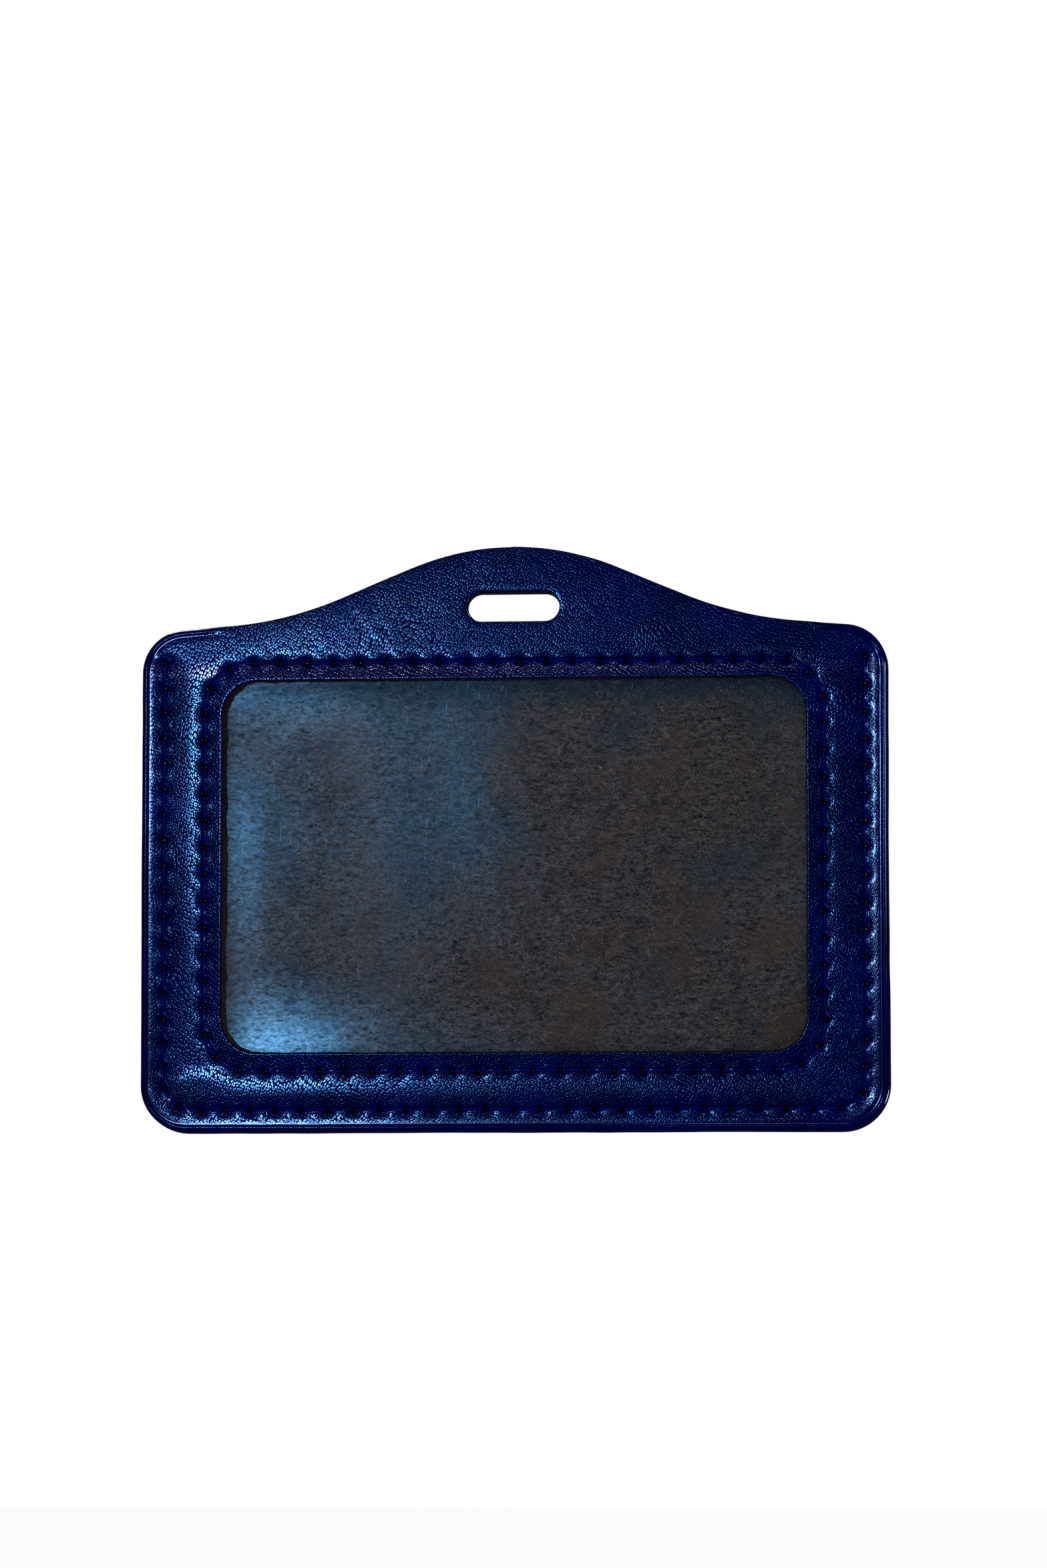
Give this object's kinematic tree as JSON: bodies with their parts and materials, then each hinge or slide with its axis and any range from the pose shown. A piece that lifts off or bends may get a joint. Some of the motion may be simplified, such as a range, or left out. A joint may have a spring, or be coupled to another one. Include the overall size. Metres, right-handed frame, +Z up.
{
  "type": "badge holder",
  "caption": "Horizontal imitation-leather badge holder with a clear window, sewn edges, a humped top punched with a lanyard slot, and a rear flap that bends back to open the card pocket.",
  "frame": {"origin": "centre of the lanyard slot, midway through the thickness", "axes": "+Z up when the holder hangs, +X to the right along its length as seen from the front, the window faces -Y"},
  "size_m": [0.112, 0.0041, 0.0876],
  "materials": {
    "navy_leather": "glossy, fine pebble grain",
    "grey_backing": "non-woven, cut edge",
    "clear_sheet": "clear, glossy, lightly scuffed",
    "grey_felt": "matt fibrous felt",
    "blue_thread": "twisted thread"
  },
  "bodies": {
    "holder": {"front_leather": "navy_leather", "front_backing": "grey_backing", "window_sheet": "clear_sheet", "rear_lining": "grey_felt", "rear_leather": "navy_leather", "window_needle_thread": "blue_thread", "window_bobbin_thread": "blue_thread", "edge_needle_thread": "blue_thread", "edge_bobbin_thread": "blue_thread"},
    "rear_flap": {"rear_flap_leather": "navy_leather", "rear_flap_lining": "grey_felt"}
  },
  "joints": [
    {"name": "mouth_hinge", "type": "hinge", "parent": "holder", "child": "rear_flap", "pos_m": [0, 0.00187, -0.00705], "axis": [-1, 0, 0], "range_deg": [0, 35], "stiffness_Nm_per_rad": 0.003}
  ]
}
